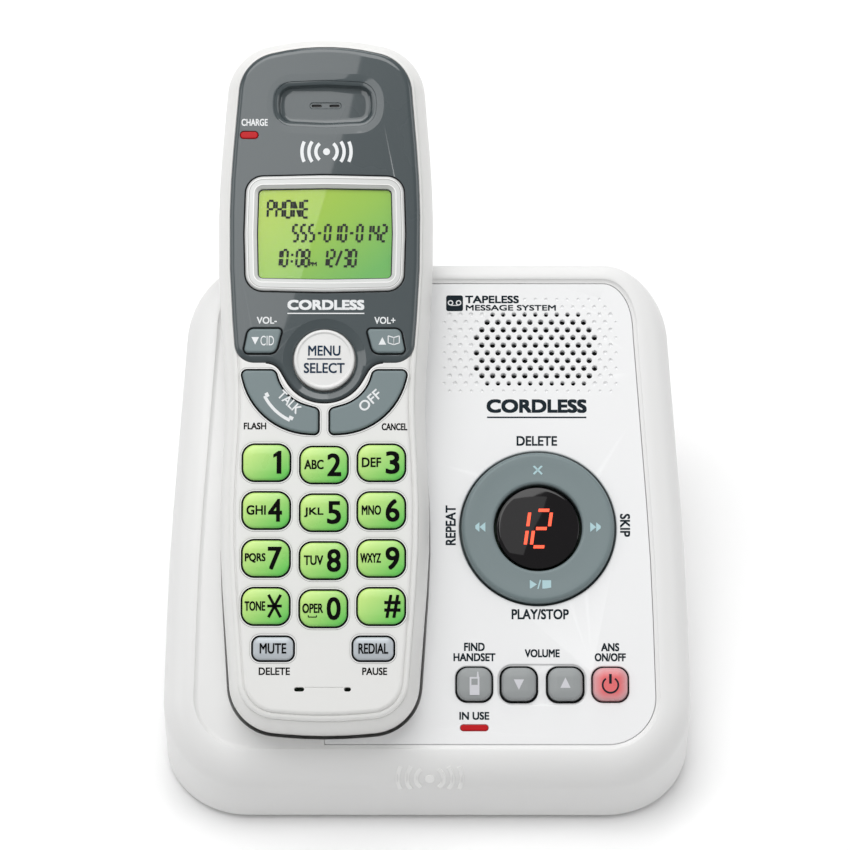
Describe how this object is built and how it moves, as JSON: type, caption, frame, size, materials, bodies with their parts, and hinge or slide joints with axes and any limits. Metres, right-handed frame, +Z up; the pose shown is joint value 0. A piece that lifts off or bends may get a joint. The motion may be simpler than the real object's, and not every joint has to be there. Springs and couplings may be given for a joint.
{
  "type": "cordless phone with base",
  "caption": "Cordless telephone handset lying on a sloped answering-machine base with message display, key ring, speaker grille and call keys.",
  "frame": {"origin": "centre of the base's plan, on the underside of its middle rubber foot", "axes": "+Z up, -Y is the front edge that faces the user, +X to the right"},
  "size_m": [0.119, 0.1473, 0.107],
  "materials": {
    "white_base": "fine satin moulded plastic",
    "white_handset": "smooth satin moulded plastic",
    "slate_bezel": "glossy slate-grey plastic",
    "slate_keys": "satin slate-grey keys",
    "green_keys": "translucent backlit keys",
    "silver_keys": "silver painted plastic",
    "red_key": "translucent red plastic",
    "red_light": "clear red lens",
    "lcd_glass": "clear window",
    "lcd_panel": "backlit liquid-crystal panel",
    "smoked_window": "smoked window",
    "led_digits": "red light-emitting display",
    "rubber": "soft key-mat rubber",
    "foot_rubber": "dark rubber",
    "circuit_board": "green solder mask",
    "black_plastic": "black moulded plastic",
    "felt": "black felt",
    "steel": "zinc-plated steel",
    "contact_metal": "plated contact metal",
    "battery_wrap": "blue shrink wrap",
    "connector_white": "white connector plastic"
  },
  "bodies": {
    "base": {"base_housing": "white_base", "base_faceplate": "white_base", "base_bottom_cover": "white_base", "rubber_feet": "foot_rubber", "base_screws": "steel", "base_circuit_board": "circuit_board", "base_key_mat": "rubber", "base_speaker": "black_plastic", "speaker_felt": "felt", "message_window": "smoked_window", "led_display": "led_digits", "in_use_light": "red_light", "line_jack": "black_plastic", "power_inlet": "black_plastic", "base_antenna": "contact_metal"},
    "handset": {"handset_front_shell": "white_handset", "handset_rear_shell": "white_handset", "handset_bezel": "slate_bezel", "lcd_frame": "silver_keys", "lcd_window": "lcd_glass", "lcd_module": "lcd_panel", "handset_circuit_board": "circuit_board", "handset_key_mat": "rubber", "earpiece_speaker": "black_plastic", "microphone": "steel", "charge_light": "red_light", "charge_strips": "contact_metal", "battery_pack": "battery_wrap", "battery_connector": "connector_white", "handset_antenna": "contact_metal", "handset_screws": "steel"},
    "battery_door": {"battery_door": "white_handset"},
    "key_1": {"key_1": "green_keys"},
    "key_2": {"key_2": "green_keys"},
    "key_3": {"key_3": "green_keys"},
    "key_4": {"key_4": "green_keys"},
    "key_5": {"key_5": "green_keys"},
    "key_6": {"key_6": "green_keys"},
    "key_7": {"key_7": "green_keys"},
    "key_8": {"key_8": "green_keys"},
    "key_9": {"key_9": "green_keys"},
    "key_star": {"key_star": "green_keys"},
    "key_0": {"key_0": "green_keys"},
    "key_hash": {"key_hash": "green_keys"},
    "key_menu": {"key_menu": "silver_keys"},
    "key_talk": {"key_talk": "slate_keys"},
    "key_off": {"key_off": "slate_keys"},
    "key_volume_down": {"key_volume_down": "slate_keys"},
    "key_volume_up": {"key_volume_up": "slate_keys"},
    "key_mute": {"key_mute": "silver_keys"},
    "key_redial": {"key_redial": "silver_keys"},
    "nav_ring": {"nav_ring": "slate_keys"},
    "nav_ring_rocker": {"nav_ring_rocker": "rubber"},
    "base_key_find": {"base_key_find": "slate_keys"},
    "base_key_volume_down": {"base_key_volume_down": "slate_keys"},
    "base_key_volume_up": {"base_key_volume_up": "slate_keys"},
    "base_key_answer": {"base_key_answer": "red_key"},
    "charge_contact_left": {"charge_contact_left": "contact_metal"},
    "charge_contact_right": {"charge_contact_right": "contact_metal"}
  },
  "joints": [
    {"name": "handset_lift_off", "type": "slide", "parent": "base", "child": "handset", "axis": [0, -0.4695, 0.8829], "range_m": [0, 0.06]},
    {"name": "battery_door_slide", "type": "slide", "parent": "handset", "child": "battery_door", "axis": [0, -0.8829, -0.4695], "range_m": [0, 0.005]},
    {"name": "key_1_press", "type": "slide", "parent": "handset", "child": "key_1", "axis": [0, 0.4695, -0.8829], "range_m": [0, 0.0009], "stiffness_N_per_m": 450, "springref_m": -0.0003},
    {"name": "key_2_press", "type": "slide", "parent": "handset", "child": "key_2", "axis": [0, 0.4695, -0.8829], "range_m": [0, 0.0009], "stiffness_N_per_m": 450, "springref_m": -0.0003},
    {"name": "key_3_press", "type": "slide", "parent": "handset", "child": "key_3", "axis": [0, 0.4695, -0.8829], "range_m": [0, 0.0009], "stiffness_N_per_m": 450, "springref_m": -0.0003},
    {"name": "key_4_press", "type": "slide", "parent": "handset", "child": "key_4", "axis": [0, 0.4695, -0.8829], "range_m": [0, 0.0009], "stiffness_N_per_m": 450, "springref_m": -0.0003},
    {"name": "key_5_press", "type": "slide", "parent": "handset", "child": "key_5", "axis": [0, 0.4695, -0.8829], "range_m": [0, 0.0009], "stiffness_N_per_m": 450, "springref_m": -0.0003},
    {"name": "key_6_press", "type": "slide", "parent": "handset", "child": "key_6", "axis": [0, 0.4695, -0.8829], "range_m": [0, 0.0009], "stiffness_N_per_m": 450, "springref_m": -0.0003},
    {"name": "key_7_press", "type": "slide", "parent": "handset", "child": "key_7", "axis": [0, 0.4695, -0.8829], "range_m": [0, 0.0009], "stiffness_N_per_m": 450, "springref_m": -0.0003},
    {"name": "key_8_press", "type": "slide", "parent": "handset", "child": "key_8", "axis": [0, 0.4695, -0.8829], "range_m": [0, 0.0009], "stiffness_N_per_m": 450, "springref_m": -0.0003},
    {"name": "key_9_press", "type": "slide", "parent": "handset", "child": "key_9", "axis": [0, 0.4695, -0.8829], "range_m": [0, 0.0009], "stiffness_N_per_m": 450, "springref_m": -0.0003},
    {"name": "key_star_press", "type": "slide", "parent": "handset", "child": "key_star", "axis": [0, 0.4695, -0.8829], "range_m": [0, 0.0009], "stiffness_N_per_m": 450, "springref_m": -0.0003},
    {"name": "key_0_press", "type": "slide", "parent": "handset", "child": "key_0", "axis": [0, 0.4695, -0.8829], "range_m": [0, 0.0009], "stiffness_N_per_m": 450, "springref_m": -0.0003},
    {"name": "key_hash_press", "type": "slide", "parent": "handset", "child": "key_hash", "axis": [0, 0.4695, -0.8829], "range_m": [0, 0.0009], "stiffness_N_per_m": 450, "springref_m": -0.0003},
    {"name": "key_menu_press", "type": "slide", "parent": "handset", "child": "key_menu", "axis": [0, 0.4695, -0.8829], "range_m": [0, 0.0009], "stiffness_N_per_m": 450, "springref_m": -0.0003},
    {"name": "key_talk_press", "type": "slide", "parent": "handset", "child": "key_talk", "axis": [0, 0.4695, -0.8829], "range_m": [0, 0.0009], "stiffness_N_per_m": 450, "springref_m": -0.0003},
    {"name": "key_off_press", "type": "slide", "parent": "handset", "child": "key_off", "axis": [0, 0.4695, -0.8829], "range_m": [0, 0.0009], "stiffness_N_per_m": 450, "springref_m": -0.0003},
    {"name": "key_volume_down_press", "type": "slide", "parent": "handset", "child": "key_volume_down", "axis": [0, 0.4695, -0.8829], "range_m": [0, 0.0009], "stiffness_N_per_m": 450, "springref_m": -0.0003},
    {"name": "key_volume_up_press", "type": "slide", "parent": "handset", "child": "key_volume_up", "axis": [0, 0.4695, -0.8829], "range_m": [0, 0.0009], "stiffness_N_per_m": 450, "springref_m": -0.0003},
    {"name": "key_mute_press", "type": "slide", "parent": "handset", "child": "key_mute", "axis": [0, 0.4695, -0.8829], "range_m": [0, 0.0009], "stiffness_N_per_m": 450, "springref_m": -0.0003},
    {"name": "key_redial_press", "type": "slide", "parent": "handset", "child": "key_redial", "axis": [0, 0.4695, -0.8829], "range_m": [0, 0.0009], "stiffness_N_per_m": 450, "springref_m": -0.0003},
    {"name": "base_key_find_press", "type": "slide", "parent": "base", "child": "base_key_find", "axis": [0, 0.4067, -0.9135], "range_m": [0, 0.0009], "stiffness_N_per_m": 450, "springref_m": -0.0003},
    {"name": "base_key_volume_down_press", "type": "slide", "parent": "base", "child": "base_key_volume_down", "axis": [0, 0.4067, -0.9135], "range_m": [0, 0.0009], "stiffness_N_per_m": 450, "springref_m": -0.0003},
    {"name": "base_key_volume_up_press", "type": "slide", "parent": "base", "child": "base_key_volume_up", "axis": [0, 0.4067, -0.9135], "range_m": [0, 0.0009], "stiffness_N_per_m": 450, "springref_m": -0.0003},
    {"name": "base_key_answer_press", "type": "slide", "parent": "base", "child": "base_key_answer", "axis": [0, 0.4067, -0.9135], "range_m": [0, 0.0009], "stiffness_N_per_m": 450, "springref_m": -0.0003},
    {"name": "nav_rocker_up_down", "type": "hinge", "parent": "base", "child": "nav_ring_rocker", "pos_m": [0.02505, -0.00111, 0.03666], "axis": [1, 0, 0], "range_deg": [-1.5, 1.5], "stiffness_Nm_per_rad": 0.5},
    {"name": "nav_ring_left_right", "type": "hinge", "parent": "nav_ring_rocker", "child": "nav_ring", "pos_m": [0.02505, -0.00111, 0.03666], "axis": [0, 0.9135, 0.4067], "range_deg": [-1.5, 1.5], "stiffness_Nm_per_rad": 0.5},
    {"name": "charge_contact_left_press", "type": "slide", "parent": "base", "child": "charge_contact_left", "axis": [0, 0.4695, -0.8829], "range_m": [0, 0.001], "stiffness_N_per_m": 300, "springref_m": -0.0005},
    {"name": "charge_contact_right_press", "type": "slide", "parent": "base", "child": "charge_contact_right", "axis": [0, 0.4695, -0.8829], "range_m": [0, 0.001], "stiffness_N_per_m": 300, "springref_m": -0.0005}
  ]
}
